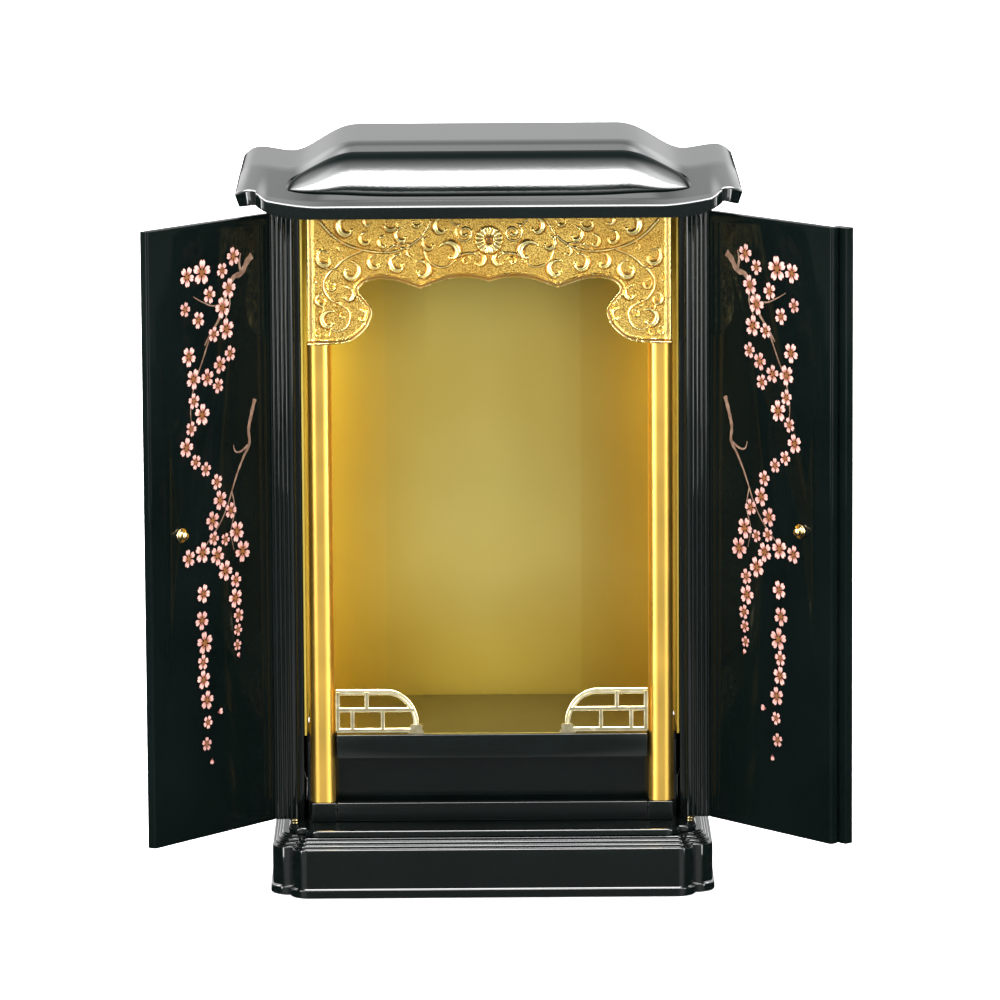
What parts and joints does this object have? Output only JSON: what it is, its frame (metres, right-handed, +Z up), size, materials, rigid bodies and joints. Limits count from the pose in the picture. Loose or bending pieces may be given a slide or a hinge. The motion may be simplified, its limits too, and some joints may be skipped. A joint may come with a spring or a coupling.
{
  "type": "household altar cabinet",
  "caption": "Small upright household altar cabinet in black lacquered wood with a gold interior, a carved valance, gold pillars and hinged doors with fluted corner pillars.",
  "frame": {"origin": "middle of the plinth's underside", "axes": "+Z up, -Y to the front where the doors open, +X to the right seen from the front"},
  "size_m": [0.3477, 0.202, 0.3716],
  "materials": {
    "black_lacquer": "black gloss lacquer, polished",
    "gilt": "gilded, satin metallic",
    "gold_foil": "gold foil on board, soft metallic sheen",
    "pale_gold": "pale gold plating, bright",
    "knob_brass": "polished brass"
  },
  "bodies": {
    "cabinet": {"back_wall": "black_lacquer", "body_platform": "black_lacquer", "carved_valance": "gilt", "ceiling_board": "black_lacquer", "front_sill": "black_lacquer", "gold_back_board": "gold_foil", "gold_floor_board": "gold_foil", "left_gold_lining": "gold_foil", "left_gold_pillar": "gilt", "left_handrail": "pale_gold", "left_lower_pivot": "knob_brass", "left_pillar_base": "black_lacquer", "left_side_wall": "black_lacquer", "left_upper_pivot": "knob_brass", "plinth": "black_lacquer", "raised_floor": "black_lacquer", "recess_panel": "black_lacquer", "right_gold_lining": "gold_foil", "right_gold_pillar": "gilt", "right_handrail": "pale_gold", "right_lower_pivot": "knob_brass", "right_pillar_base": "black_lacquer", "right_side_wall": "black_lacquer", "right_upper_pivot": "knob_brass", "roof": "black_lacquer", "roof_front_panel": "black_lacquer"},
    "left_door": {"left_door_knob": "knob_brass", "left_door_panel": "black_lacquer", "left_door_pillar": "black_lacquer"},
    "right_door": {"right_door_astragal": "black_lacquer", "right_door_knob": "knob_brass", "right_door_panel": "black_lacquer", "right_door_pillar": "black_lacquer"}
  },
  "joints": [
    {"name": "left_door_hinge", "type": "hinge", "parent": "cabinet", "child": "left_door", "pos_m": [-0.0996, -0.0466, 0.188], "axis": [0, 0, 1], "range_deg": [-10.5, 129.5]},
    {"name": "right_door_hinge", "type": "hinge", "parent": "cabinet", "child": "right_door", "pos_m": [0.0996, -0.0466, 0.188], "axis": [0, 0, 1], "range_deg": [-129.5, 10.5]}
  ]
}
